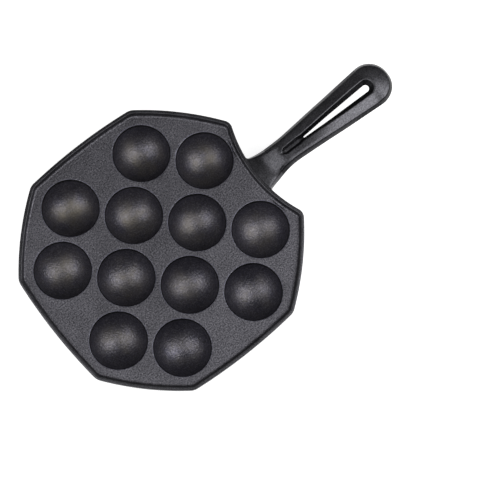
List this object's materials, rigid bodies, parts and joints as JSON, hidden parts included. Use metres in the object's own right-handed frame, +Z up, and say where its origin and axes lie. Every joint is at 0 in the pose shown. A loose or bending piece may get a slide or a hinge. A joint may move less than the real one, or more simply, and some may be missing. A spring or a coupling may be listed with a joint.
{
  "type": "takoyaki pan",
  "caption": "Cast-iron takoyaki pan: eight-sided tray with hemispherical cups, raised rim, drafted skirt and a flared handle with a long hanging slot.",
  "frame": {"origin": "middle of the pan's bounding box, on the face it stands on", "axes": "+X along the handle, away from the body; +Z up, out of the cups"},
  "size_m": [0.299, 0.1906, 0.0374],
  "materials": {
    "deck_iron": "seasoned sand-cast iron with a fine sandy skin",
    "cup_iron": "seasoned iron, smoother inside the cups, with a brownish oil tint",
    "outside_iron": "seasoned sand-cast iron, satin black"
  },
  "bodies": {
    "root": {"deck_plate": "deck_iron", "rim": "outside_iron", "skirt": "outside_iron", "cup_01": "cup_iron", "cup_02": "cup_iron", "cup_03": "cup_iron", "cup_04": "cup_iron", "cup_05": "cup_iron", "cup_06": "cup_iron", "cup_07": "cup_iron", "cup_08": "cup_iron", "cup_09": "cup_iron", "cup_10": "cup_iron", "cup_11": "cup_iron", "cup_12": "cup_iron", "handle_neck": "outside_iron", "handle_loop": "outside_iron"}
  },
  "joints": []
}
